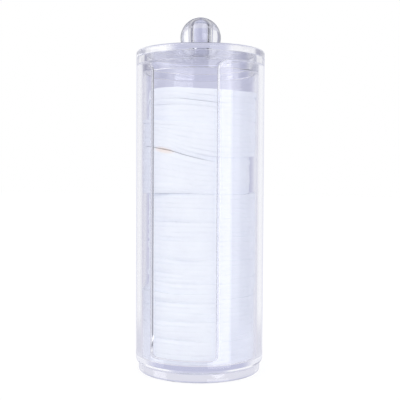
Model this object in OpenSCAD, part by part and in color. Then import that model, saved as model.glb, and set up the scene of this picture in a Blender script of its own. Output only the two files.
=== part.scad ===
// Clear plastic cotton pad organizer: a round upright container with a hand slot in its front wall,
// a lift-off lid with a ball knob, and the stack of round cotton pads that the container holds.
// Millimetres. The base ring stands on z = 0 round the Z axis, and the hand slot faces -Y.

/* [Container] */
// Outside diameter of the container wall and of the lid
outer_d = 68; // [60:1:90]
// Thickness of the container wall
wall_t = 3; // [2:0.25:4]
// Thickness of the container floor
floor_t = 2.4; // [1.5:0.1:4]
// Height of the floor above the rounded step
floor_lift = 1.1; // [0.5:0.1:4]
// Rounding in the corner between the floor and the wall
floor_round = 1; // [0.3:0.1:1.3]

/* [Foot] */
// How far the foot ring stands in from the wall
foot_step = 1.6; // [0.8:0.1:2.4]
// Height of the foot ring's straight side
foot_h = 4.6; // [3:0.1:8]
// Height of the rounded step between the foot ring and the wall
step_h = 2.6; // [2.4:0.1:5]
// Width of the foot ring
foot_t = 2.4; // [1.5:0.1:4]
// Rounding of the foot ring's outer bottom edge
foot_round = 1.3; // [0.3:0.1:1.4]

/* [Hand slot] */
// Width of the slot, straight across
slot_w = 34; // [24:1:40]
// Height of the sill that the slot leaves above the floor
sill_h = 2.9; // [1:0.1:12]
// Rounding of the slot's lower corners
slot_round = 2.5; // [0.5:0.5:6]
// Rounding of the wall's corners where the slot opens at the rim
mouth_round = 5; // [2:0.5:8]

/* [Lid] */
// Height of the lid's outer band
band_h = 7.9; // [5:0.1:16]
// Thickness of the lid's top plate
plate_t = 3; // [2:0.1:4]
// How far the lid's plug ring reaches down into the container
plug_h = 4.2; // [2:0.1:10]
// Thickness of the plug ring
plug_t = 2; // [1.2:0.1:3]
// Clearance between the plug ring and the container's bore
plug_clear = 0.2; // [0.1:0.05:0.6]
// Gap at the seam between the container's rim and the lid
seam_gap = 0.1; // [0.05:0.05:0.3]
// Rounding of the lid's upper edge
lid_round = 1.4; // [0.4:0.1:2]
// Rounding of the plug ring's lower outer edge
plug_round = 0.6; // [0.2:0.1:0.8]

/* [Knob] */
// Diameter of the ball
knob_d = 21.5; // [18:0.5:30]
// Height of the cap that is cut off the ball for its flat seat
knob_flat = 3.4; // [2:0.1:5]
// Thickness of the glue under the ball
glue_t = 0.05; // [0.05:0.05:0.2]
// Diameter of the blind hole in the ball
hole_d = 8.5; // [4:0.5:9]
// Clearance between the lid's peg and the hole
peg_clear = 0.1; // [0.05:0.05:0.3]
// Thickness that the ball has above the end of its hole
knob_cover = 2.5; // [2:0.5:7]

/* [Cotton pads] */
// Number of pads in the stack
pad_count = 56; // [10:1:57]
// Thickness of one pad in the stack
pad_t = 2.4; // [1.5:0.02:4]
// Clearance between a centred pad and the container wall
pad_clear = 2.5; // [1.5:0.1:5]
// Rounding of a pad's edges
pad_round = 0.9; // [0.3:0.1:1.5]
// Greatest lean of the pads near the top of the stack, in degrees, with their -X side up
lean_most = 4.2; // [0:0.1:6]
// Lean of the topmost pad, in degrees
lean_top = 1; // [0:0.1:2]
// Free height between the stack and the lid's plug ring
headroom = 10.2; // [4:0.1:40]

/* [Hidden] */
$fn = 144;

// A cut runs this far past the face that it opens
past = 1;

// Pads were put in by the handful: [number of pads, shift to +X, shift to +Y], from the floor up, with
// the shifts as shares of the clearance. The last handful goes on to the top of the stack.
handfuls = [[15, -0.2, -0.1], [21, 0.46, 0.13], [8, -0.84, -0.22], [6, -0.1, -0.05], [6, 0.42, 0.12]];
// Each pad lies a little off its handful, by this share of the clearance
loose_share = 0.07;
loose_turn = 83;

// The lean grows over these pads and goes back over those above them, counted from the top of the stack
lean_starts = 19;
lean_full = 11;
lean_ends = 7;

// Radii
outer_r = outer_d / 2;
bore_r = outer_r - wall_t;
foot_r = outer_r - foot_step;
recess_r = foot_r - foot_t;
plug_r = bore_r - plug_clear;
lid_bore_r = plug_r - plug_t;
knob_r = knob_d / 2;
hole_r = hole_d / 2;
pad_r = bore_r - pad_clear;

// The step's arc meets the wall upright and ends on the foot ring
step_r = (pow(foot_step, 2) + pow(step_h, 2)) / (2 * foot_step);

// Heights, from the base up
step_top = foot_h + step_h;
floor_top = step_top + floor_lift;
recess_h = floor_top - floor_t;
sill_top = floor_top + sill_h;
stack_top = pad_base(pad_count) + pad_t / cos(lean(pad_count)) + pad_r * tan(lean(pad_count));
plug_bottom = stack_top + headroom;
lid_bottom = plug_bottom + plug_h;
rim_top = lid_bottom - seam_gap;
lid_top = lid_bottom + band_h;
knob_bottom = lid_top + glue_t;
knob_centre = knob_bottom + knob_r - knob_flat;
hole_top = knob_centre + knob_r - knob_cover;

// A pad's edge can't be rounder than half its thickness
pad_edge = min(pad_round, 0.45 * pad_t);

clear_tint = [0.86, 0.86, 0.95, 0.35];
cotton_white = [0.96, 0.96, 0.98];

function pad_name(i) = str("pad_", i < 10 ? "0" : "", i);
function handful_at(i, k = 0, below = 0) =
    k == len(handfuls) - 1 || i <= below + handfuls[k][0] ? [handfuls[k][1], handfuls[k][2]]
    : handful_at(i, k + 1, below + handfuls[k][0]);
function pad_place(i) =
    pad_clear * (handful_at(i) + loose_share * [cos(i * loose_turn), sin(i * loose_turn)]);

// From 0 to 1 in an easy curve as x goes from a to b
function ease(x, a, b) = (1 - cos(180 * min(max((x - a) / (b - a), 0), 1))) / 2;
function lean(i) =
    let (from_top = i - pad_count)
    i < 1 ? 0
    : lean_most * ease(from_top, -lean_starts, -lean_full)
    + (lean_top - lean_most) * ease(from_top, -lean_ends, 0);
// Height of pad i's underside on the axis. Where the lean changes, pads touch at one side of the bore and
// part at the other.
function pad_base(i) =
    let (parting = bore_r * abs(tan(lean(i)) - tan(lean(i - 1))))
    parting + (i <= 1 ? floor_top : pad_base(i - 1) + pad_t / cos(lean(i - 1)));

// What a rounding of radius r takes off a corner that points to +X and +Y, round the arc's centre
module corner_off(r) {
    difference() {
        square(r + past);
        circle(r);
    }
}

// A bar of radius r with a domed end, standing on z = 0
module domed_bar(r, top) {
    cylinder(r = r, h = top - r);
    translate([0, 0, top - r]) sphere(r);
}

// Half section of the container: foot ring, rounded step, floor and wall
module container_section() {
    difference() {
        union() {
            square([foot_r, step_top]);
            intersection() {
                translate([outer_r - step_r, step_top]) circle(step_r);
                square([outer_r, step_top]);
            }
            translate([0, step_top]) square([outer_r, rim_top - step_top]);
        }
        translate([0, -past]) square([recess_r, recess_h + past]);
        translate([foot_r - foot_round, foot_round]) mirror([0, 1]) corner_off(foot_round);
        difference() {
            translate([0, floor_top]) square([bore_r, rim_top]);
            translate([bore_r - floor_round, floor_top + floor_round]) mirror([0, 1]) corner_off(floor_round);
        }
    }
}

// Front view of the hand slot: rounded lower corners, and a mouth that flares round the rim's corners
module slot_outline() {
    difference() {
        translate([-slot_w / 2, sill_top]) square([slot_w, rim_top + past - sill_top]);
        for (side = [0, 1]) mirror([side, 0])
            translate([slot_w / 2 - slot_round, sill_top + slot_round]) mirror([0, 1]) corner_off(slot_round);
    }
    for (side = [0, 1]) mirror([side, 0])
        translate([slot_w / 2 + mouth_round, rim_top - mouth_round]) mirror([1, 0]) corner_off(mouth_round);
}

module container() {
    color(clear_tint) difference() {
        rotate_extrude() container_section();
        rotate([90, 0, 0]) linear_extrude(height = outer_r + past) slot_outline();
    }
}

// Half section of the lid: top plate, outer band and plug ring
module lid_section() {
    difference() {
        union() {
            translate([0, plug_bottom]) square([plug_r, lid_top - plug_bottom]);
            translate([0, lid_bottom]) square([outer_r, band_h]);
        }
        translate([0, plug_bottom - past]) square([lid_bore_r, lid_top - plate_t - plug_bottom + past]);
        translate([outer_r - lid_round, lid_top - lid_round]) corner_off(lid_round);
        translate([plug_r - plug_round, plug_bottom + plug_round]) mirror([0, 1]) corner_off(plug_round);
    }
}

// The lid with the peg that the ball is glued over
module lid() {
    peg_root = lid_top - plate_t / 2;
    color(clear_tint) union() {
        rotate_extrude() lid_section();
        translate([0, 0, peg_root]) domed_bar(hole_r - peg_clear, hole_top - peg_clear - peg_root);
    }
}

// The ball, with a flat seat and a blind hole for the peg
module knob() {
    color(clear_tint) difference() {
        translate([0, 0, knob_centre]) sphere(knob_r);
        translate([-knob_r, -knob_r, knob_bottom - knob_d]) cube(knob_d);
        translate([0, 0, knob_bottom - past]) domed_bar(hole_r, hole_top - knob_bottom + past);
    }
}

// Half section of one pad, standing on y = 0
module pad_section() {
    difference() {
        square([pad_r, pad_t]);
        translate([pad_r - pad_edge, pad_edge]) mirror([0, 1]) corner_off(pad_edge);
        translate([pad_r - pad_edge, pad_t - pad_edge]) corner_off(pad_edge);
    }
}

// Pad number i, counted from the floor up
module pad(i) {
    at = pad_place(i);
    color(cotton_white) translate([at.x, at.y, pad_base(i) - at.x * tan(lean(i))])
        rotate([0, lean(i), 0]) rotate_extrude() pad_section();
}

container();
lid();
knob();
for (i = [1 : pad_count]) pad(i);
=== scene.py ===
import math
import bmesh
import bpy
import numpy as np
from mathutils import Matrix, Vector


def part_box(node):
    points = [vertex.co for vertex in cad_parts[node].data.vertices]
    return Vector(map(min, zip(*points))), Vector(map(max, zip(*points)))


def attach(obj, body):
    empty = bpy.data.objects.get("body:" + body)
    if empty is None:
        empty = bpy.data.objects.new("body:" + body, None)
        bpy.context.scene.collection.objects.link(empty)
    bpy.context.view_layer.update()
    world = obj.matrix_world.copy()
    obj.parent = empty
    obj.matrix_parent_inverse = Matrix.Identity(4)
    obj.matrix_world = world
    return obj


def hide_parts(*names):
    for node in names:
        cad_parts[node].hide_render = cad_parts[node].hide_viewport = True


# A clear round cotton pad organizer on a white sweep, under soft studio light.
# Sizes in the dictionaries are millimetres unless a note says otherwise.
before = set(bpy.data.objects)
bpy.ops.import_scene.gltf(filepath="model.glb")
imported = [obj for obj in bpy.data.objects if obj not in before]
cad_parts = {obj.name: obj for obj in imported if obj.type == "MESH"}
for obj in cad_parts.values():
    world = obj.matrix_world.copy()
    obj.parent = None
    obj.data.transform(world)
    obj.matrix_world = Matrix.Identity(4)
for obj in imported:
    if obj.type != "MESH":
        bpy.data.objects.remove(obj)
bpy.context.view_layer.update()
scene = bpy.context.scene
scene.view_settings.view_transform = "Standard"
mm = 0.001
print("frame loaded,", len(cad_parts), "nodes")


# Node helpers, for shader and geometry trees alike

def put(tree, target, value):  # a socket is linked, anything else is set
    if isinstance(value, bpy.types.NodeSocket):
        tree.links.new(value, target)
    else:
        target.default_value = value


def addNode(tree, kind, inputs=None, **settings):
    made = tree.nodes.new(kind)
    made.location = (190 * len(tree.nodes), -40 * (len(tree.nodes) % 5))
    for key, value in settings.items():
        setattr(made, key, value)
    for key, value in (inputs or {}).items():
        put(tree, made.inputs[key], value)
    return made


def calc(tree, operation, *values):
    return addNode(tree, "ShaderNodeMath", dict(enumerate(values)), operation=operation).outputs[0]


def ramp(tree, value, low, high, toLow=0.0, toHigh=1.0):  # a soft step between low and high
    made = addNode(tree, "ShaderNodeMapRange", {"Value": value, "From Min": low, "From Max": high,
                                                "To Min": toLow, "To Max": toHigh},
                   interpolation_type="SMOOTHSTEP")
    return made.outputs[0]


def eitherWay(tree, value, most):  # a noise from 0 to 1 as a shift from -most to most
    return calc(tree, "MULTIPLY", calc(tree, "SUBTRACT", value, 0.5), calc(tree, "MULTIPLY", most, 2))


def vectorCalc(tree, operation, *values):
    made = addNode(tree, "ShaderNodeVectorMath", dict(enumerate(values)), operation=operation)
    return made.outputs["Value" if operation in ("DOT_PRODUCT", "DISTANCE", "LENGTH") else "Vector"]


def scaled(tree, vector, by):
    return addNode(tree, "ShaderNodeVectorMath", {0: vector, "Scale": by}, operation="SCALE").outputs[0]


def joined(tree, x, y, z):
    return addNode(tree, "ShaderNodeCombineXYZ", {0: x, 1: y, 2: z}).outputs[0]


def split(tree, vector):
    return addNode(tree, "ShaderNodeSeparateXYZ", {0: vector}).outputs


def blend(tree, factor, low, high):
    made = addNode(tree, "ShaderNodeMix", {"Factor": factor, "A": low, "B": high}, data_type="RGBA")
    return made.outputs["Result"]


def noise(tree, vector, scale, detail=2.0, roughness=0.5, distortion=0.0):
    made = addNode(tree, "ShaderNodeTexNoise", {"Vector": vector, "Scale": scale, "Detail": detail,
                                                "Roughness": roughness, "Distortion": distortion})
    return made.outputs["Fac"]


def emptyMaterial(name):
    material = bpy.data.materials.new(name)
    material.use_nodes = True
    material.node_tree.nodes.clear()
    return material, material.node_tree


def newGroup(name, kind, inputs, outputs):
    tree = bpy.data.node_groups.new(name, kind)
    for way, sockets in (("INPUT", inputs), ("OUTPUT", outputs)):
        for label, (socketKind, *value) in sockets.items():
            made = tree.interface.new_socket(label, in_out=way, socket_type="NodeSocket" + socketKind)
            if value:
                made.default_value = value[0]
    return tree, tree.nodes.new("NodeGroupInput"), tree.nodes.new("NodeGroupOutput")


# Moulded and turned shapes

def roundedChain(corners, hold=0.12, turn=math.radians(8)):
    # Points of an outline through corners (r, z, rounding), held flat just before and after each rounding
    points = []
    for i, (r, z, radius) in enumerate(corners):
        here = np.array((r, z), float)
        if not radius:
            points.append(here)
            continue
        back = np.array(corners[i - 1][:2]) - here
        on = np.array(corners[i + 1][:2]) - here
        backLength, onLength = np.linalg.norm(back), np.linalg.norm(on)
        back, on = back / backLength, on / onLength
        half = math.acos(np.clip(back @ on, -1, 1)) / 2
        reach = radius / math.tan(half)
        centre = here + (back + on) / np.linalg.norm(back + on) * radius / math.sin(half)
        start, end = here + back * reach, here + on * reach
        steps = max(2, math.ceil((math.pi - 2 * half) / turn))
        if backLength - reach > 3 * hold:
            points.append(start + back * hold)
        swing = math.pi - 2 * half
        for k in range(steps + 1):
            a = swing * k / steps
            weightStart, weightEnd = math.sin(swing - a) / math.sin(swing), math.sin(a) / math.sin(swing)
            points.append(centre + weightStart * (start - centre) + weightEnd * (end - centre))
        if onLength - reach > 3 * hold:
            points.append(end + on * hold)
    return np.array(points)


def arcPoints(centre, radius, fromAngle, toAngle, steps):
    angles = np.radians(np.linspace(fromAngle, toAngle, steps + 1))
    return np.column_stack((centre[0] + radius * np.cos(angles), centre[1] + radius * np.sin(angles)))


def smoothMesh(mesh, merge=1e-6):
    work = bmesh.new()
    work.from_mesh(mesh)
    bmesh.ops.remove_doubles(work, verts=work.verts, dist=merge)
    bmesh.ops.dissolve_degenerate(work, edges=work.edges, dist=merge)
    bmesh.ops.recalc_face_normals(work, faces=work.faces)
    openEdges = sum(1 for e in work.edges if not e.is_manifold)
    for face in work.faces:
        face.smooth = True
    work.to_mesh(mesh)
    work.free()
    if openEdges:
        print("  open edges in", mesh.name, openEdges)
    return mesh


def addPiece(name, mesh, material):
    piece = bpy.data.objects.new(name, mesh)
    scene.collection.objects.link(piece)
    mesh.materials.clear()
    mesh.materials.append(material)
    return piece


# The container's mesh: one half of it, as grids of points, and its mirror image

containerShape = {
    "wall": 3.0, "floorTop": 8.3, "floorRound": 1.0, "recessTop": 5.9, "recessRound": 0.5,
    "footOut": 32.4, "footIn": 30.0, "footTop": 4.6, "footRound": 1.3, "footInRound": 0.35, "footNeck": 0.3,
    "stepTop": 7.2, "slotHalf": 17.0, "sillTop": 11.2, "slotRound": 2.5, "mouthRound": 5.0,
    "edgeRound": 0.35,  # the moulded softness of the slot's and rim's edges
    "hold": 0.12,       # how far a face stays flat before an edge
    "edgeSteps": 12, "sillSteps": 12, "cornerSteps": 10, "sideSteps": 40, "mouthSteps": 12, "rimSteps": 84,
    "wallSteps": 4, "stepSteps": 14,
}


def slotStations(shape, outer, inner, rimTop):
    # The half slot's outline and the rim after it: place, direction of travel, and angle on both faces
    half, sill = shape["slotHalf"], shape["sillTop"]
    low, mouth = shape["slotRound"], shape["mouthRound"]
    rows = []
    for x in np.linspace(0, half - low, shape["sillSteps"] + 1)[:-1]:
        rows.append((x, sill, 1, 0))
    for a in np.radians(np.linspace(-90, 0, shape["cornerSteps"] + 1)[:-1]):
        across, up = math.cos(a), math.sin(a)
        rows.append((half - low + low * across, sill + low + low * up, -up, across))
    for z in np.linspace(sill + low, rimTop - mouth, shape["sideSteps"] + 1)[:-1]:
        rows.append((half, z, 0, 1))
    for a in np.radians(np.linspace(180, 90, shape["mouthSteps"] + 1)):
        across, up = math.cos(a), math.sin(a)
        rows.append((half + mouth + mouth * across, rimTop - mouth + mouth * up, up, -across))
    rows = np.array(rows)
    angleOut, angleIn = np.arcsin(rows[:, 0] / outer), np.arcsin(rows[:, 0] / inner)
    tangentOut = np.column_stack((rows[:, 2] / np.cos(angleOut), rows[:, 3]))
    tangentIn = np.column_stack((rows[:, 2] / np.cos(angleIn), rows[:, 3]))
    share = np.linspace(0, 1, shape["rimSteps"] + 1)[1:, None]
    rim = np.tile((1.0, 0.0), (len(share), 1))
    angleOut = np.append(angleOut, angleOut[-1] + (math.pi - angleOut[-1]) * share)
    angleIn = np.append(angleIn, angleIn[-1] + (math.pi - angleIn[-1]) * share)
    height = np.append(rows[:, 1], np.full(len(share), rimTop))
    unit = [np.vstack((t, rim)) for t in (tangentOut, tangentIn)]
    unit = [t / np.linalg.norm(t, axis=1)[:, None] for t in unit]
    return height, (angleOut, angleIn), unit


def onWall(radius, along, height):  # along is the distance round the wall, from the front
    angle = np.asarray(along) / radius
    height = np.asarray(height) + 0 * angle
    return np.stack((radius * np.sin(angle), -radius * np.cos(angle), height), axis=-1)


def wallGrids(shape, radius, curve, lowest):
    # The wall's face between its edge curve (distance round, height) and its lowest ring
    cornerAt = shape["sillSteps"] + shape["cornerSteps"] // 2
    mouthAt = shape["sillSteps"] + shape["cornerSteps"] + shape["sideSteps"] + shape["mouthSteps"] // 2
    side, top = curve[cornerAt:mouthAt + 1], curve[mouthAt:]
    farEnd = math.pi * radius
    junction = side[0, 1]
    along = (top[:, 0] - top[0, 0]) / (farEnd - top[0, 0])
    up = (side[:, 1] - junction) / (side[-1, 1] - junction)
    bottom = np.column_stack((side[0, 0] + along * (farEnd - side[0, 0]), np.full(len(along), junction)))
    back = np.column_stack((np.full(len(up), farEnd), junction + up * (top[-1, 1] - junction)))
    u, v = along[None, :, None], up[:, None, None]
    ends = ((1 - u) * (1 - v) * bottom[0] + u * (1 - v) * bottom[-1]
            + (1 - u) * v * top[0] + u * v * top[-1])
    patch = (1 - v) * bottom[None] + v * top[None] + (1 - u) * side[:, None] + u * back[:, None] - ends
    upper = np.vstack((curve[:cornerAt], bottom))
    share = np.linspace(0, 1, shape["wallSteps"] + 1)[:, None]
    low = np.stack((np.tile(upper[:, 0], (len(share), 1)), lowest + share * (upper[:, 1] - lowest)), axis=-1)
    return [onWall(radius, g[..., 0], g[..., 1]) for g in (patch, low)], upper[:, 0] / radius


def turned(chain, angles):  # a chain of (r, z), turned through the angles
    return np.stack([np.stack((r * np.sin(angles), -r * np.cos(angles), np.full(len(angles), z)), axis=-1)
                     for r, z in chain])


def buildContainer(shape):
    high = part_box("container")[1]
    outer, rimTop = high.x / mm, high.z / mm
    inner = outer - shape["wall"]
    height, angles, tangents = slotStations(shape, outer, inner, rimTop)
    soft, hold = shape["edgeRound"], shape["hold"]
    corners = [onWall(radius, angle * radius, height) for radius, angle in zip((outer, inner), angles)]
    across = corners[1] - corners[0]
    across /= np.linalg.norm(across, axis=1)[:, None]

    # The slot's and rim's edge on each face of the wall: an arc of rounding, and a held line before it
    helds, arcs, curves, reaches = [], [], [], []
    for k, (radius, angle, tangent) in enumerate(zip((outer, inner), angles, tangents)):
        into = np.column_stack((tangent[:, 1], -tangent[:, 0]))  # away from the edge, on the wall's face
        inside = np.column_stack((into[:, 0] * np.cos(angle), into[:, 0] * np.sin(angle), into[:, 1]))
        facing = across * (1 - 2 * k)
        half = np.arccos(np.sum(inside * facing, axis=1)) / 2
        reach = (soft / np.tan(half))[:, None]
        reaches.append(reach)
        place = np.column_stack((angle * radius, height))
        start, end = onWall(radius, *(place + reach * into).T), corners[k] + reach * facing
        middle = inside + facing
        middle /= np.linalg.norm(middle, axis=1)[:, None]
        middle = corners[k] + middle * (soft / np.sin(half))[:, None]
        swing = (math.pi - 2 * half)[:, None]
        shares = np.linspace(0, 1, shape["edgeSteps"] + 1)[:, None, None]
        arcs.append(middle + np.sin(swing * (1 - shares)) / np.sin(swing) * (start - middle)
                    + np.sin(swing * shares) / np.sin(swing) * (end - middle))
        curves.append(place + (reach + hold) * into)
        curves[-1][-1, 0] = math.pi * radius
        helds.append(onWall(radius, *curves[-1].T))
    faceStart, faceEnd = corners[0] + (reaches[0] + hold) * across, corners[1] - (reaches[1] + hold) * across
    strip = [helds[0], *arcs[0], faceStart, (faceStart + faceEnd) / 2, faceEnd, *arcs[1][::-1], helds[1]]
    grids = [np.stack(strip)]

    # Both faces of the wall, and below them the step, the foot and the floor
    outGrids, outAngles = wallGrids(shape, outer, curves[0], shape["stepTop"])
    inGrids, inAngles = wallGrids(shape, inner, curves[1], shape["floorTop"] + shape["floorRound"])
    foot, footTop = shape["footOut"], shape["footTop"]
    stepDrop, stepIn = shape["stepTop"] - footTop, outer - foot
    stepArc = (stepDrop ** 2 + stepIn ** 2) / (2 * stepIn)
    stepEnd = -math.degrees(math.asin(stepDrop / stepArc))
    step = arcPoints((outer - stepArc, shape["stepTop"]), stepArc, 0, stepEnd, shape["stepSteps"])
    footIn, recessTop = shape["footIn"], shape["recessTop"]
    underside = [(*p, 0) for p in step[:-1]] + [
        (foot, footTop, shape["footNeck"]), (foot, 0, shape["footRound"]), (footIn, 0, shape["footInRound"]),
        (footIn, recessTop, shape["recessRound"]), (0, recessTop, 0)]
    floorTop, floorRound = shape["floorTop"], shape["floorRound"]
    floorArc = floorRound * 0.999  # a hair less, so that the arc starts above the wall's lowest ring
    inside = [(inner, floorTop + floorRound, 0), (inner, floorTop, floorArc), (0, floorTop, 0)]
    grids += outGrids + inGrids
    grids += [turned(roundedChain(underside), outAngles), turned(roundedChain(inside), inAngles)]

    verts, faces = [], []
    for side in (1, -1):  # the half and its mirror image
        for grid in grids:
            rows, cols = grid.shape[:2]
            first = len(verts)
            verts += (grid.reshape(-1, 3) * (side * mm, mm, mm)).tolist()
            for i in range(rows - 1):
                for j in range(cols - 1):
                    a = first + i * cols + j
                    faces.append((a, a + 1, a + cols + 1, a + cols))
    mesh = bpy.data.meshes.new("containerShell")
    mesh.from_pydata(verts, [], faces)
    return smoothMesh(mesh, 2e-6)


# Geometry Nodes: a profile turned round the Z axis

def makeTurnGroup():
    tree, inn, out = newGroup("turnProfile", "GeometryNodeTree",
                              {"Profile": ("Geometry",), "Profile Points": ("Int", 2), "Sides": ("Int", 96)},
                              {"Mesh": ("Geometry",)})
    profile, rows, sides = (inn.outputs[label] for label in ("Profile", "Profile Points", "Sides"))
    columns = calc(tree, "ADD", sides, 1)
    grid = addNode(tree, "GeometryNodeMeshGrid", {"Vertices X": columns, "Vertices Y": rows})
    index = addNode(tree, "GeometryNodeInputIndex").outputs[0]
    column = calc(tree, "FLOOR", calc(tree, "DIVIDE", calc(tree, "ADD", index, 0.5), rows))
    row = calc(tree, "SUBTRACT", index, calc(tree, "MULTIPLY", column, rows))
    point = addNode(tree, "GeometryNodeSampleIndex", {"Geometry": profile, "Index": row},
                    data_type="FLOAT_VECTOR")
    tree.links.new(addNode(tree, "GeometryNodeInputPosition").outputs[0], point.inputs["Value"])
    place = split(tree, point.outputs[0])
    angle = calc(tree, "MULTIPLY", calc(tree, "DIVIDE", column, sides), 2 * math.pi)
    x = calc(tree, "MULTIPLY", place[0], calc(tree, "SINE", angle))
    y = calc(tree, "MULTIPLY", calc(tree, "MULTIPLY", place[0], calc(tree, "COSINE", angle)), -1)
    spun = joined(tree, x, y, place[2])
    moved = addNode(tree, "GeometryNodeSetPosition", {"Geometry": grid.outputs["Mesh"], "Position": spun})
    tree.links.new(moved.outputs[0], out.inputs["Mesh"])
    return tree


turnGroup = makeTurnGroup()


def finishTree(tree, geometry, inn, out):  # closes the poles and the seam, smooths, and gives the material
    merged = addNode(tree, "GeometryNodeMergeByDistance", {"Geometry": geometry, "Distance": 1e-6})
    smooth = addNode(tree, "GeometryNodeSetShadeSmooth", {"Geometry": merged.outputs[0]})
    finished = addNode(tree, "GeometryNodeSetMaterial",
                       {"Geometry": smooth.outputs[0], "Material": inn.outputs["Material"]})
    real = addNode(tree, "GeometryNodeRealizeInstances", {"Geometry": finished.outputs[0]})
    tree.links.new(real.outputs[0], out.inputs[0])


def makeTurnedTree():
    tree, inn, out = newGroup("turnedPart", "GeometryNodeTree",
                              {"Profile": ("Geometry",), "Profile Points": ("Int", 2), "Sides": ("Int", 96),
                               "Material": ("Material",)},
                              {"Part": ("Geometry",)})
    spun = addNode(tree, "GeometryNodeGroup", node_tree=turnGroup)
    for name in ("Profile", "Profile Points", "Sides"):
        tree.links.new(inn.outputs[name], spun.inputs[name])
    finishTree(tree, spun.outputs[0], inn, out)
    return tree


def growPiece(name, tree, chain, values, material):
    # Runs a geometry tree on a profile of (r, z) in millimetres, and gives back the result as a plain mesh
    seed = bpy.data.meshes.new(name + "Profile")
    seed.from_pydata([(r * mm, 0, z * mm) for r, z in chain], [(i, i + 1) for i in range(len(chain) - 1)], [])
    carrier = bpy.data.objects.new(name + "Carrier", seed)
    scene.collection.objects.link(carrier)
    modifier = carrier.modifiers.new("shape", "NODES")
    modifier.node_group = tree
    values = dict(values, **{"Profile Points": len(chain), "Material": material})
    for item in tree.interface.items_tree:
        if item.item_type == "SOCKET" and item.in_out == "INPUT" and item.name in values:
            modifier[item.identifier] = values[item.name]
    graph = bpy.context.evaluated_depsgraph_get()
    mesh = bpy.data.meshes.new_from_object(carrier.evaluated_get(graph))
    carrier.modifiers.clear()
    bpy.data.objects.remove(carrier)
    bpy.data.meshes.remove(seed)
    mesh.name = name
    return addPiece(name, smoothMesh(mesh), material)


# Clear moulded plastic

mouldedMarks = {
    "waveScale": 38, "waveStretch": 0.45,                       # the mould's soft waves, drawn out upwards
    "handlingScale": 95, "smudgeFrom": 0.52, "smudgeTo": 0.75,  # where handling leaves a haze
    "driftScale": 16,                                           # how the tint drifts
}


def makeMouldedSurface(marks):
    # What every moulded clear part has: a faint tint that drifts, handling haze, and the mould's soft waves
    tree, inn, out = newGroup("mouldedSurface", "ShaderNodeTree",
                              {"Tint": ("Color", (1, 1, 1, 1)), "Deep Tint": ("Color", (1, 1, 1, 1)),
                               "Haze": ("Float", 0.01), "Smudge": ("Float", 0.03), "Wave": ("Float", 0.3)},
                              {"Colour": ("Color",), "Roughness": ("Float",), "Height": ("Float",)})
    get = inn.outputs
    coords = addNode(tree, "ShaderNodeTexCoord").outputs["Object"]
    flow = addNode(tree, "ShaderNodeMapping", {"Vector": coords, "Scale": (1, 1, marks["waveStretch"])})
    waves = noise(tree, flow.outputs[0], marks["waveScale"], 1.5, 0.45)
    handling = noise(tree, coords, marks["handlingScale"], 5, 0.62)
    smudges = ramp(tree, handling, marks["smudgeFrom"], marks["smudgeTo"])
    drift = noise(tree, coords, marks["driftScale"], 1)
    colour = blend(tree, drift, get["Tint"], get["Deep Tint"])
    rough = calc(tree, "ADD", get["Haze"], calc(tree, "MULTIPLY", smudges, get["Smudge"]))
    height = calc(tree, "MULTIPLY", waves, get["Wave"])
    for label, value in (("Colour", colour), ("Roughness", rough), ("Height", height)):
        tree.links.new(value, out.inputs[label])
    return tree


mouldedSurface = makeMouldedSurface(mouldedMarks)

# passed and edgePassed colour the lamps' light, straight on and where a face turns away. The limb shade and
# the mirror shade darken the colour at the outline and behind a mirroring: painted shade. mostMirrored is how
# often a ray is mirrored inside.
clearFinishes = {
    "clearContainer": {
        "tint": (0.972, 0.973, 0.988), "deepTint": (0.952, 0.954, 0.974), "haze": 0.012, "smudge": 0.03,
        "wave": 0.25, "passed": (0.955, 0.957, 0.975), "edgePassed": (0.55, 0.56, 0.60),
        "limbShade": 1.0, "mirrorShade": 1.0, "mostMirrored": 2.5,
        "mirroredLow": ((7.0, 9.0, 1.0), (-1.0, 7.0, -1.0)),  # from this height to that one, how many more
    },
    "clearLid": {
        "tint": (0.965, 0.967, 0.988), "deepTint": (0.945, 0.948, 0.978), "haze": 0.015, "smudge": 0.03,
        "wave": 0.25, "passed": (0.95, 0.952, 0.972), "edgePassed": (0.55, 0.56, 0.60),
        "limbShade": 0.6, "mirrorShade": 0.9, "mostMirrored": 2.5, "mirroredLow": (),
    },
    "clearKnob": {
        "tint": (0.965, 0.967, 0.985), "deepTint": (0.945, 0.948, 0.975), "haze": 0.006, "smudge": 0.012,
        "wave": 0.1, "passed": (0.95, 0.952, 0.972), "edgePassed": (0.55, 0.56, 0.60),
        "limbShade": 0.0, "mirrorShade": 0.6, "mostMirrored": 10.5, "mirroredLow": (),
    },
}
clearLook = {
    "ior": 1.52, "bumpDepth": 0.2, "bumpStrength": 0.4,
    "limbShadeFrom": 0.4, "limbShadeTo": 0.95,   # how far a face turns away where the painted limb shade starts, and where it is full
    "edgeFrom": 0.25, "edgeTo": 0.95,  # the same for edgePassed
    "mostTurns": 9,                    # after so many turns of any kind, a ray goes straight on
}


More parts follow.
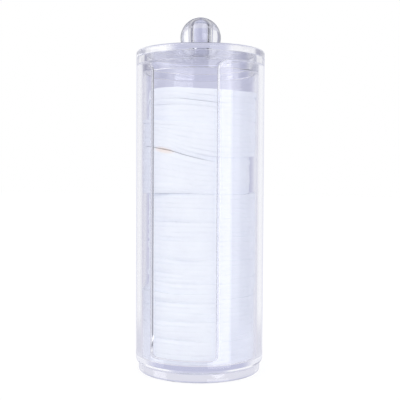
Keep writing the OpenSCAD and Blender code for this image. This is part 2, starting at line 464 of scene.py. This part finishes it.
def mouldedPlastic(name, finish, look):
    material, tree = emptyMaterial(name)
    surface = addNode(tree, "ShaderNodeGroup", node_tree=mouldedSurface)
    for label, key in (("Tint", "tint"), ("Deep Tint", "deepTint")):
        surface.inputs[label].default_value = (*finish[key], 1)
    for label, key in (("Haze", "haze"), ("Smudge", "smudge"), ("Wave", "wave")):
        surface.inputs[label].default_value = finish[key]
    depth, strength = look["bumpDepth"] * mm, look["bumpStrength"]
    bump = addNode(tree, "ShaderNodeBump", {"Height": surface.outputs["Height"], "Distance": depth,
                                            "Strength": strength})
    facing = addNode(tree, "ShaderNodeLayerWeight", {"Blend": 0.5}).outputs["Facing"]
    path = addNode(tree, "ShaderNodeLightPath").outputs
    # Painted shade: the colour darkens where the face turns away and after a mirroring, which draws dark
    # outlines
    limbShade = ramp(tree, facing, look["limbShadeFrom"], look["limbShadeTo"], 1.0, finish["limbShade"])
    mirrored = ramp(tree, path["Glossy Depth"], 0.0, 1.0, 1.0, finish["mirrorShade"])
    tint = scaled(tree, surface.outputs["Colour"], calc(tree, "MULTIPLY", limbShade, mirrored))
    plastic = addNode(tree, "ShaderNodeBsdfPrincipled",
                      {"Base Color": tint, "Roughness": surface.outputs["Roughness"],
                       "Transmission Weight": 1.0, "IOR": look["ior"], "Normal": bump.outputs[0]})

    # Light from the lamps goes straight through, and so does a ray that is caught between the faces
    edge = calc(tree, "MULTIPLY", ramp(tree, facing, look["edgeFrom"], look["edgeTo"]), path["Is Shadow Ray"])
    passed = blend(tree, edge, (*finish["passed"], 1), (*finish["edgePassed"], 1))
    passing = addNode(tree, "ShaderNodeBsdfTransparent", {"Color": passed})
    straight = calc(tree, "MAXIMUM", path["Is Shadow Ray"], path["Is Diffuse Ray"])
    height = split(tree, addNode(tree, "ShaderNodeTexCoord").outputs["Object"])[2]
    most = finish["mostMirrored"]
    for low, high, more in finish["mirroredLow"]:
        inBand = calc(tree, "MULTIPLY", calc(tree, "GREATER_THAN", height, low * mm),
                      calc(tree, "LESS_THAN", height, high * mm))
        most = calc(tree, "ADD", calc(tree, "MULTIPLY", inBand, more), most)
    caught = calc(tree, "MAXIMUM", calc(tree, "GREATER_THAN", path["Glossy Depth"], most),
                  calc(tree, "GREATER_THAN", path["Ray Depth"], look["mostTurns"]))
    straight = calc(tree, "MAXIMUM", straight, caught)
    mix = addNode(tree, "ShaderNodeMixShader", {0: straight, 1: plastic.outputs[0], 2: passing.outputs[0]})
    end = addNode(tree, "ShaderNodeOutputMaterial")
    tree.links.new(mix.outputs[0], end.inputs["Surface"])
    return material


clear = {name: mouldedPlastic(name, finish, clearLook) for name, finish in clearFinishes.items()}
print("clear plastics made")

container = addPiece("containerShell", buildContainer(containerShape), clear["clearContainer"])
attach(container, "holder")
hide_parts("container")
print("container built,", len(container.data.polygons), "faces")

# The lid and its ball knob, both turned
lidShape = {
    "ringOut": 30.8, "ringIn": 28.8, "ringRound": 0.6, "ringInRound": 0.4, "plug": 4.2,
    "band": 7.9, "bandRound": 1.4, "seatRound": 0.3, "neckRound": 0.2,
    "plate": 3.0, "rootRound": 0.6, "underRings": (0, 9, 18), "topRings": (22, 13),
    "pegRadius": 4.15, "pegRoot": 0.3, "domeSteps": 12, "sides": 180,
}
knobShape = {
    "radius": 10.75, "seatRound": 0.25, "ballSteps": 44, "sides": 144,
    "holeRadius": 4.25, "holeEdge": 0.15, "cover": 2.5, "domeSteps": 12,
}


def lidChain(shape):
    low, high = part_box("lid")
    outer, ringLow, pegTop = high.x / mm, low.z / mm, high.z / mm
    seat = ringLow + shape["plug"]
    top = seat + shape["band"]
    plateLow, peg = top - shape["plate"], shape["pegRadius"]
    under = [(r, plateLow, 0) for r in shape["underRings"]]
    ringIn, ringOut = shape["ringIn"], shape["ringOut"]
    ring = [(ringIn, plateLow, shape["rootRound"]), (ringIn, ringLow, shape["ringInRound"]),
            (ringOut, ringLow, shape["ringRound"]), (ringOut, seat, shape["neckRound"])]
    band = [(outer, seat, shape["seatRound"]), (outer, top, shape["bandRound"])]
    over = [(r, top, 0) for r in shape["topRings"]] + [(peg, top, shape["pegRoot"])]
    dome = arcPoints((0, pegTop - peg), peg, 0, 90, shape["domeSteps"])
    dome[-1, 0] = 0
    return roundedChain(under + ring + band + over + [(*p, 0) for p in dome])


def knobChain(shape):
    low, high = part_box("knob")
    seat, top = low.z / mm, high.z / mm
    radius, hole = shape["radius"], shape["holeRadius"]
    centre, holeTop = top - radius, top - shape["cover"]
    dome = arcPoints((0, holeTop - hole), hole, 90, 0, shape["domeSteps"])
    dome[0, 0] = 0
    edgeAngle = -math.degrees(math.asin((centre - seat) / radius))
    ball = arcPoints((0, centre), radius, edgeAngle, 90, shape["ballSteps"])
    ball[-1, 0] = 0
    foot = [(hole, seat, shape["holeEdge"]), (*ball[0], shape["seatRound"])]
    return roundedChain([(*p, 0) for p in dome] + foot + [(*p, 0) for p in ball[1:]])


turnedTree = makeTurnedTree()
lid = growPiece("lidShell", turnedTree, lidChain(lidShape), {"Sides": lidShape["sides"]}, clear["clearLid"])
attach(lid, "lid")
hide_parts("lid")
knob = growPiece("ballKnob", turnedTree, knobChain(knobShape), {"Sides": knobShape["sides"]},
                 clear["clearKnob"])
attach(knob, "lid")
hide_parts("knob")
print("lid and knob turned")

# Cotton pads. Each one lies between two resting faces, which it shares with its neighbours.
padShape = {
    "radius": 28.5, "wallLimit": 30.8, "sides": 168, "rings": (0, 6, 12, 17, 21.5, 25, 27), "edgeRows": 11,
    "edge": 0.14, "edgeLeast": 0.3,               # how far seams draw in, and the least share of that
    "gap": 0.008,                                 # between two resting faces
    "wave": 0.9, "waveSize": 24, "waveDrift": 9,  # how the faces undulate, and how that changes going up
    "outOfRound": 1.0, "fray": 0.2,
    "spreads": ((1, 15, 1.2), (45, 50, 1.3)),     # pads that are pressed wider: first, last, by how much
    # Where faces are lifted or pressed down: how much, place, reach, and heights of start, full and end
    "folds": ((4.0, (-20.0, -20.3), 34.0, (92, 113, 136)), (-1.8, (17.0, -22.0), 30.0, (92, 112, 134)),
              (-4.5, (-29.0, -9.0), 13.0, (130, 147.3, 175)), (-1.5, (18.0, -22.0), 26.0, (134, 142.5, 152)),
              (1.7, (-3.0, -26.0), 60.0, (134, 147.3, 175))),
}
padTexture = {
    "waveFrom": 8.3, "waveFull": 22.0,            # heights between which the waves set in
    "rimFrom": 0.55, "outermost": 0.99,           # shares of the radius
    "lobeScale": 1.3, "fibreScale": 420, "seedStep": 7.31,
    "seamScale": 90, "seamDrift": 17, "seamFrom": 0.38, "seamTo": 0.68,
    "thinnest": 0.6,
}
# Where the stack parts at the front: above which pad, how far, how deep it is nipped in, centre, reach
padSeams = {
    5: (0.03, 0.8, (-7, -27), 22), 9: (0.03, 0.9, (-4, -28), 24), 12: (0.03, 0.7, (-16, -23), 14),
    13: (0.06, 1.1, (-3, -28), 28), 17: (0.02, 0.8, (-6, -28), 28), 18: (0.03, 0.6, (-10, -26), 14),
    19: (0.03, 0.8, (-12, -25), 18), 22: (0.04, 0.9, (-3, -28), 20), 30: (0.06, 1.2, (-5, -28), 24),
    36: (0.08, 1.3, (-6, -28), 30), 43: (0.34, 1.1, (-9, -27), 27), 52: (0.03, 0.8, (26, -11), 14),
    53: (0.09, 1.1, (-6, -28), 32), 54: (0.14, 1.3, (4, -28), 26),
}


def faceInputs(foldCount):
    inputs = {"Wave": ("Float", 0.0005), "Wave Size": ("Float", 0.02), "Wave Drift": ("Float", 0.01)}
    for k in range(foldCount):
        fold = f"Fold {k} "
        inputs.update({fold + "Lift": ("Float", 0.0), fold + "At": ("Vector",),
                       fold + "Reach": ("Float", 0.03), fold + "Start": ("Float", 0.09),
                       fold + "Full": ("Float", 0.11), fold + "End": ("Float", 0.14)})
    return inputs


def makeRestingFace(foldCount, texture):
    # Height of a resting face over (X, Y): its plane, soft waves that belong to that height, and the folds
    inputs = {"Place": ("Vector",), "Height": ("Float", 0.1), "Slope": ("Vector",)}
    inputs.update(faceInputs(foldCount))
    tree, inn, out = newGroup("restingFace", "GeometryNodeTree", inputs, {"Z": ("Float",)})
    get = inn.outputs
    flat = vectorCalc(tree, "MULTIPLY", get["Place"], (1, 1, 0))
    plane = vectorCalc(tree, "DOT_PRODUCT", flat, get["Slope"])
    place = split(tree, flat)
    waveAt = joined(tree, calc(tree, "DIVIDE", place[0], get["Wave Size"]),
                    calc(tree, "DIVIDE", place[1], get["Wave Size"]),
                    calc(tree, "DIVIDE", get["Height"], get["Wave Drift"]))
    wave = eitherWay(tree, noise(tree, waveAt, 1, 2, 0.45), get["Wave"])
    setIn = ramp(tree, get["Height"], texture["waveFrom"] * mm, texture["waveFull"] * mm)
    wave = calc(tree, "MULTIPLY", wave, setIn)
    z = calc(tree, "ADD", calc(tree, "ADD", get["Height"], plane), wave)
    for k in range(foldCount):
        fold = f"Fold {k} "
        away = vectorCalc(tree, "DISTANCE", flat, get[fold + "At"])
        near = ramp(tree, away, 0.0, get[fold + "Reach"], 1.0, 0.0)
        rise = ramp(tree, get["Height"], get[fold + "Start"], get[fold + "Full"])
        fall = ramp(tree, get["Height"], get[fold + "Full"], get[fold + "End"], 1.0, 0.0)
        lift = calc(tree, "MULTIPLY", near, get[fold + "Lift"])
        z = calc(tree, "ADD", z, calc(tree, "MULTIPLY", lift, calc(tree, "MULTIPLY", rise, fall)))
    tree.links.new(z, out.inputs["Z"])
    return tree


def makePadTree(foldCount, texture):
    restingFace = makeRestingFace(foldCount, texture)
    shared = faceInputs(foldCount)
    inputs = {"Profile": ("Geometry",), "Profile Points": ("Int", 2), "Sides": ("Int", 96),
              "Material": ("Material",), "Seed": ("Float", 1.0), "Centre": ("Vector",),
              "Radius": ("Float", 0.0285), "Out Of Round": ("Float", 0.0008), "Fray": ("Float", 0.0003),
              "Edge": ("Float", 0.0005), "Edge Least": ("Float", 0.2), "Wall Limit": ("Float", 0.0308),
              "Gap": ("Float", 0.00003)}
    for way in ("Bottom", "Top"):
        inputs.update({way + " Height": ("Float", 0.0), way + " Slope": ("Vector",),
                       way + " Parting": ("Float", 0.0), way + " Nip": ("Float", 0.0),
                       way + " Parting At": ("Vector",), way + " Parting Reach": ("Float", 0.02)})
    inputs.update(shared)
    tree, inn, out = newGroup("cottonPad", "GeometryNodeTree", inputs, {"Pad": ("Geometry",)})
    get = inn.outputs
    turning = {label: get[label] for label in ("Profile", "Profile Points", "Sides")}
    spun = addNode(tree, "GeometryNodeGroup", turning, node_tree=turnGroup)
    position = addNode(tree, "GeometryNodeInputPosition").outputs[0]
    share = calc(tree, "DIVIDE", split(tree, position)[2], mm)  # 0 on the bottom face, 1 on the top face
    flat = vectorCalc(tree, "MULTIPLY", position, (1, 1, 0))
    away = vectorCalc(tree, "LENGTH", flat)
    outward = vectorCalc(tree, "NORMALIZE", flat)
    rim = ramp(tree, calc(tree, "DIVIDE", away, get["Radius"]), texture["rimFrom"], 1.0)
    ideal = vectorCalc(tree, "ADD", flat, get["Centre"])

    # The outline isn't quite round, and frays
    seedShift = joined(tree, 0, 0, calc(tree, "MULTIPLY", get["Seed"], texture["seedStep"]))
    lobes = noise(tree, vectorCalc(tree, "ADD", outward, seedShift), texture["lobeScale"])
    lobes = eitherWay(tree, lobes, get["Out Of Round"])
    fibres = noise(tree, vectorCalc(tree, "ADD", position, seedShift), texture["fibreScale"], 3, 0.6)
    fibres = eitherWay(tree, fibres, get["Fray"])
    grown = calc(tree, "MULTIPLY", calc(tree, "ADD", lobes, fibres), rim)

    # The edge draws in at the faces, more at some places than at others, the same on both sides of a seam
    upper = calc(tree, "GREATER_THAN", share, 0.5)
    nearest = addNode(tree, "ShaderNodeMix", {"Factor": upper, "A": get["Bottom Height"],
                                              "B": get["Top Height"]})
    seamAt = joined(tree, 0, 0, calc(tree, "MULTIPLY", nearest.outputs[0], texture["seamDrift"]))
    openness = noise(tree, vectorCalc(tree, "ADD", ideal, seamAt), texture["seamScale"], 1)
    openness = ramp(tree, openness, texture["seamFrom"], texture["seamTo"], get["Edge Least"], 1.0)
    fromMiddle = calc(tree, "ABSOLUTE", calc(tree, "SUBTRACT", calc(tree, "MULTIPLY", share, 2), 1))
    drawn = calc(tree, "MULTIPLY", openness, get["Edge"])
    drawn = calc(tree, "MULTIPLY", calc(tree, "POWER", fromMiddle, 3), drawn)
    outermost = calc(tree, "GREATER_THAN", calc(tree, "DIVIDE", away, get["Radius"]), texture["outermost"])
    grown = calc(tree, "SUBTRACT", grown, calc(tree, "MULTIPLY", drawn, outermost))

    # Some seams part, and are nipped in
    partings, growth = {}, grown
    for way, low, high in (("Bottom", 0.75, 0.0), ("Top", 0.25, 1.0)):
        offset = vectorCalc(tree, "DISTANCE", ideal, get[way + " Parting At"])
        near = ramp(tree, offset, 0.0, get[way + " Parting Reach"], 1.0, 0.0)
        partings[way] = calc(tree, "MULTIPLY", calc(tree, "MULTIPLY", near, rim), get[way + " Parting"])
        pull = calc(tree, "MULTIPLY", near, ramp(tree, share, low, high))
        pull = calc(tree, "MULTIPLY", pull, get[way + " Nip"])
        growth = calc(tree, "SUBTRACT", growth, calc(tree, "MULTIPLY", pull, rim))
    place = vectorCalc(tree, "ADD", ideal, scaled(tree, outward, growth))
    reach = vectorCalc(tree, "LENGTH", place)
    kept = calc(tree, "DIVIDE", calc(tree, "MINIMUM", reach, get["Wall Limit"]),
                calc(tree, "MAXIMUM", reach, 1e-6))
    place = scaled(tree, place, kept)
    heights = {}
    for way in ("Bottom", "Top"):
        lying = {"Place": place, "Height": get[way + " Height"], "Slope": get[way + " Slope"]}
        face = addNode(tree, "GeometryNodeGroup", lying, node_tree=restingFace)
        for name in shared:
            tree.links.new(get[name], face.inputs[name])
        heights[way] = face.outputs["Z"]
    bottom = calc(tree, "ADD", calc(tree, "ADD", heights["Bottom"], partings["Bottom"]), get["Gap"])
    top = calc(tree, "SUBTRACT", calc(tree, "SUBTRACT", heights["Top"], partings["Top"]), get["Gap"])
    thick = calc(tree, "MAXIMUM", calc(tree, "SUBTRACT", top, bottom), texture["thinnest"] * mm)
    z = calc(tree, "ADD", bottom, calc(tree, "MULTIPLY", share, thick))
    placed = split(tree, place)
    final = joined(tree, placed[0], placed[1], z)
    moved = addNode(tree, "GeometryNodeSetPosition", {"Geometry": spun.outputs[0], "Position": final})
    finishTree(tree, moved.outputs[0], inn, out)
    return tree


cottonLook = {
    "base": (0.90, 0.928, 0.985), "shade": (0.875, 0.90, 0.965),
    "shadeScale": 70, "shadeFrom": 0.35, "shadeTo": 0.7,
    # painted shade in the gap where the stack parts: its warm darker colour, place, turn, size, core and
    # strength
    "gapShade": (0.90, 0.80, 0.745), "gapShadeAt": (-11.5, -25.5, 116.6), "gapShadeTurn": (0, 13, 15.3),  # degrees
    "gapShadeSize": (8.0, 9.0, 2.0), "gapShadeCore": 0.35, "gapShadeMost": 0.8,
    "fibreScale": 900, "fibreLie": 2.2, "fibreTwist": 1.2, "napScale": 260,
    "bumpDepth": 0.4, "bumpStrength": 0.5,
    "roughness": 0.95, "shine": 0.1, "sheen": 0.25, "sheenRoughness": 0.6,
}


def cottonWool(look):
    material, tree = emptyMaterial("cotton")
    coords = addNode(tree, "ShaderNodeTexCoord").outputs["Object"]
    drift = noise(tree, coords, look["shadeScale"], 3, 0.6)
    colour = blend(tree, ramp(tree, drift, look["shadeFrom"], look["shadeTo"]), (*look["base"], 1),
                   (*look["shade"], 1))
    # Painted shade: the pads are coloured warmer and darker in the gap where the stack parts under the fold
    at, size = ([v * mm for v in look[key]] for key in ("gapShadeAt", "gapShadeSize"))
    turn = [math.radians(v) for v in look["gapShadeTurn"]]
    patch = addNode(tree, "ShaderNodeMapping", {"Vector": coords, "Location": at, "Rotation": turn,
                                                "Scale": size}, vector_type="TEXTURE")
    away = vectorCalc(tree, "LENGTH", patch.outputs[0])
    gapShadeMask = ramp(tree, away, look["gapShadeCore"], 1.0, look["gapShadeMost"], 0.0)
    colour = blend(tree, gapShadeMask, colour, (*look["gapShade"], 1))
    combed = addNode(tree, "ShaderNodeMapping", {"Vector": coords, "Scale": (1, 1, look["fibreLie"])})
    fibre = noise(tree, combed.outputs[0], look["fibreScale"], 4, 0.65, look["fibreTwist"])
    nap = noise(tree, coords, look["napScale"], 3)
    height = calc(tree, "ADD", calc(tree, "MULTIPLY", fibre, 0.5), nap)
    bump = addNode(tree, "ShaderNodeBump", {"Height": height, "Distance": look["bumpDepth"] * mm,
                                            "Strength": look["bumpStrength"]})
    cotton = addNode(tree, "ShaderNodeBsdfPrincipled",
                     {"Base Color": colour, "Roughness": look["roughness"], "Sheen Weight": look["sheen"],
                      "Sheen Roughness": look["sheenRoughness"], "Specular IOR Level": look["shine"],
                      "Normal": bump.outputs[0]})
    end = addNode(tree, "ShaderNodeOutputMaterial")
    tree.links.new(cotton.outputs[0], end.inputs["Surface"])
    return material


def padChain(shape, radius):
    # Half outline of a pad, with its height as a share of the thickness, in place of millimetres
    bottom = [(r, 0.0) for r in shape["rings"]]
    side = []
    for a in np.linspace(0, math.pi, shape["edgeRows"] + 2):
        side.append((radius, 0.5 - 0.5 * math.cos(a)))
    return bottom + side + [(r, 1.0) for r in reversed(shape["rings"])]


def padDisc(name):
    # Centre, axis and thickness of the CAD disc, from its own mesh
    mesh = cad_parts[name].data
    points = np.zeros(len(mesh.vertices) * 3)
    mesh.vertices.foreach_get("co", points)
    points = np.unique(points.reshape(-1, 3).round(7), axis=0) / mm
    centre = (points.min(0) + points.max(0)) / 2
    axis = np.linalg.eigh(np.cov((points - centre).T))[1][:, 0]
    axis *= math.copysign(1, axis[2])
    reach = (points - centre) @ axis
    return centre + axis * (reach.min() + reach.max()) / 2, axis, reach.max() - reach.min()


def facePlane(centre, axis, offset):  # as height on the container's axis and slopes
    point = centre + axis * offset
    slope = -axis[:2] / axis[2]
    return np.array((point[2] - slope @ point[:2], *slope))


def buildPads(shape, texture, seams, material):
    names = sorted(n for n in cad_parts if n.startswith("pad_"))
    discs = [padDisc(n) for n in names]
    bottoms = [facePlane(c, a, -t / 2) for c, a, t in discs]
    tops = [facePlane(c, a, t / 2) for c, a, t in discs]
    faces = [bottoms[0]] + [(t + b) / 2 for t, b in zip(tops[:-1], bottoms[1:])] + [tops[-1]]
    tree = makePadTree(len(shape["folds"]), texture)
    common = {"Sides": shape["sides"], "Edge Least": shape["edgeLeast"]}
    for label, key in (("Out Of Round", "outOfRound"), ("Fray", "fray"), ("Edge", "edge"), ("Gap", "gap"),
                       ("Wall Limit", "wallLimit"), ("Wave", "wave"), ("Wave Size", "waveSize"),
                       ("Wave Drift", "waveDrift")):
        common[label] = shape[key] * mm
    for k, (lift, at, reach, heights) in enumerate(shape["folds"]):
        fold = f"Fold {k} "
        common.update({fold + "Lift": lift * mm, fold + "At": [at[0] * mm, at[1] * mm, 0],
                       fold + "Reach": reach * mm})
        common.update({fold + label: h * mm for label, h in zip(("Start", "Full", "End"), heights)})
    pads = []
    for i, (name, disc) in enumerate(zip(names, discs)):
        wider = sum(more for first, last, more in shape["spreads"] if first <= i + 1 <= last)
        radius = shape["radius"] + wider
        x, y = disc[0][:2] * mm
        values = dict(common, Seed=float(i + 1), Centre=[x, y, 0], Radius=radius * mm)
        for way, k in (("Bottom", i), ("Top", i + 1)):
            height, slopeX, slopeY = faces[k]
            values[way + " Height"] = height * mm
            values[way + " Slope"] = [slopeX, slopeY, 0]
            if k in seams:
                parting, nip, at, reach = seams[k]
                values[way + " Parting"] = parting * mm / 2
                values[way + " Nip"] = nip * mm
                values[way + " Parting At"] = [at[0] * mm, at[1] * mm, 0]
                values[way + " Parting Reach"] = reach * mm
        pad = growPiece(name.replace("pad_", "cottonPad"), tree, padChain(shape, radius), values, material)
        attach(pad, "holder")
        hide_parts(name)
        pads.append(pad)
    return pads


pads = buildPads(padShape, padTexture, padSeams, cottonWool(cottonLook))
print("cotton pads laid,", len(pads))

# Sweep, light and world. Lengths are metres here.
studio = {
    "sweepSize": 3.0, "sweepDrop": 0.0002, "sweepColour": (0.90, 0.90, 0.92), "grainScale": 500,
    "grainDepth": 0.0001, "grainStrength": 0.2, "sweepGlow": 0.85, "glowStrength": 1.06,
    "worldSeen": (1.0, 1.0, 1.0),
    # light on the pieces from in front and behind, and from the sides, by the cosine of the angle to them
    "worldLight": (0.66, 0.665, 0.685), "worldLightSides": (1.0, 1.0, 1.03), "sidesFrom": 0.5,
    # what clear plastic sees: the sides, what lies below these slopes, and upright bands, which are given as
    # degrees round from the camera's side, half width, width of the fade, and colour
    "worldSides": (1.0, 1.0, 1.02),
    "worldBelow": (0.77, 0.77, 0.85), "belowFrom": -0.17, "belowFull": -0.21,
    "worldBands": ((180, 13, 9, (0.62, 0.63, 0.78)), (0, 25, 35, (0.55, 0.56, 0.70)),
                   (118, 12, 8, (0.60, 0.61, 0.70)), (-118, 12, 8, (0.45, 0.45, 0.55)),
                   (92, 9, 12, (0.16, 0.16, 0.20)), (-92, 7, 12, (0.34, 0.34, 0.40))),
}
lampAim = 0.09  # height that the lamps point at
lamps = {  # turn is degrees round the object from the camera's side, to its right
    "sideBox": {"turn": 36.5, "distance": 0.9, "height": 0.12, "size": (0.70, 0.7), "radiance": 1.85},
    "fillBox": {"turn": -80, "distance": 1.2, "height": 0.35, "size": (0.75, 1.5), "radiance": 1.2},
}
view = {"turn": 16.0, "distance": 424.1, "height": 105.8, "aside": 0.08, "tilt": 2.03, "roll": 0.29,
        "lens": 71.23}  # degrees and millimetres


def sideVector(turn):  # horizontal direction from the object, in degrees round from the front
    angle = math.radians(turn)
    return Vector((math.sin(angle), -math.cos(angle), 0))


def sweepMaterial(look):
    material, tree = emptyMaterial("paperSweep")
    coords = addNode(tree, "ShaderNodeTexCoord").outputs["Object"]
    grain = noise(tree, coords, look["grainScale"], 3)
    bump = addNode(tree, "ShaderNodeBump", {"Height": grain, "Distance": look["grainDepth"],
                                            "Strength": look["grainStrength"]})
    paper = addNode(tree, "ShaderNodeBsdfDiffuse", {"Color": (*look["sweepColour"], 1),
                                                    "Normal": bump.outputs[0]})
    glow = addNode(tree, "ShaderNodeEmission", {"Color": (1, 1, 1, 1), "Strength": look["glowStrength"]})
    seen = addNode(tree, "ShaderNodeMixShader", {0: look["sweepGlow"], 1: paper.outputs[0],
                                                 2: glow.outputs[0]})
    path = addNode(tree, "ShaderNodeLightPath")
    mix = addNode(tree, "ShaderNodeMixShader", {0: path.outputs["Is Camera Ray"], 1: paper.outputs[0],
                                                2: seen.outputs[0]})
    end = addNode(tree, "ShaderNodeOutputMaterial")
    tree.links.new(mix.outputs[0], end.inputs["Surface"])
    return material


def buildSweep(look):
    half, low = look["sweepSize"], -look["sweepDrop"]
    mesh = bpy.data.meshes.new("paperSweep")
    mesh.from_pydata([(-half, -half, low), (half, -half, low), (half, half, low), (-half, half, low)], [],
                     [(0, 1, 2, 3)])
    sweep = addPiece("paperSweep", mesh, sweepMaterial(look))
    sweep.visible_glossy = sweep.visible_transmission = False


def buildWorld(look):
    world = bpy.data.worlds.new("studioWorld")
    scene.world = world
    world.use_nodes = True
    tree = world.node_tree
    tree.nodes.clear()
    path = addNode(tree, "ShaderNodeLightPath").outputs
    coords = addNode(tree, "ShaderNodeTexCoord").outputs["Generated"]
    level = vectorCalc(tree, "NORMALIZE", vectorCalc(tree, "MULTIPLY", coords, (1, 1, 0)))
    gloss = (*look["worldSides"], 1)
    for turn, core, fade, colour in look["worldBands"]:
        off = calc(tree, "ARCCOSINE", vectorCalc(tree, "DOT_PRODUCT", level, sideVector(view["turn"] + turn)))
        mask = ramp(tree, off, math.radians(core), math.radians(core + fade), 1.0, 0.0)
        gloss = blend(tree, mask, gloss, (*colour, 1))
    below = ramp(tree, split(tree, coords)[2], look["belowFrom"], look["belowFull"])
    gloss = blend(tree, below, gloss, (*look["worldBelow"], 1))
    aside = vectorCalc(tree, "DOT_PRODUCT", level, sideVector(view["turn"] + 90))
    aside = ramp(tree, calc(tree, "ABSOLUTE", aside), look["sidesFrom"], 1.0)
    soft = blend(tree, aside, (*look["worldLight"], 1), (*look["worldLightSides"], 1))
    bent = calc(tree, "MAXIMUM", path["Is Glossy Ray"], path["Is Transmission Ray"])
    lit = blend(tree, bent, soft, gloss)
    seen = blend(tree, path["Is Camera Ray"], lit, (*look["worldSeen"], 1))
    background = addNode(tree, "ShaderNodeBackground", {"Color": seen, "Strength": 1.0})
    end = addNode(tree, "ShaderNodeOutputWorld")
    tree.links.new(background.outputs[0], end.inputs["Surface"])


def hangLamps(boxes):
    for name, box in boxes.items():
        lamp = bpy.data.lights.new(name, "AREA")
        lamp.shape = "RECTANGLE"
        lamp.size, lamp.size_y = box["size"]
        lamp.energy = box["radiance"] * math.pi * box["size"][0] * box["size"][1]
        holder = bpy.data.objects.new(name, lamp)
        scene.collection.objects.link(holder)
        place = sideVector(view["turn"] + box["turn"]) * box["distance"] + Vector((0, 0, box["height"]))
        aim = place - Vector((0, 0, lampAim))
        holder.matrix_world = Matrix.Translation(place) @ aim.to_track_quat("Z", "Y").to_matrix().to_4x4()
        holder.visible_camera = False


def setCamera(look):
    data = bpy.data.cameras.new("camera")
    data.lens = look["lens"]
    data.sensor_width = 36
    data.sensor_fit = "HORIZONTAL"
    data.clip_start, data.clip_end = 0.01, 20
    camera = bpy.data.objects.new("camera", data)
    scene.collection.objects.link(camera)
    place = sideVector(look["turn"]) * look["distance"] * mm + Vector((0, 0, look["height"] * mm))
    place += sideVector(look["turn"] + 90) * look["aside"] * mm
    around = Matrix.Rotation(math.radians(look["turn"]), 4, "Z")
    tilted = around @ Matrix.Rotation(math.radians(90 - look["tilt"]), 4, "X")
    rolled = tilted @ Matrix.Rotation(math.radians(look["roll"]), 4, "Z")
    camera.matrix_world = Matrix.Translation(place) @ rolled
    scene.camera = camera


buildSweep(studio)
buildWorld(studio)
hangLamps(lamps)
setCamera(view)
print("studio set")
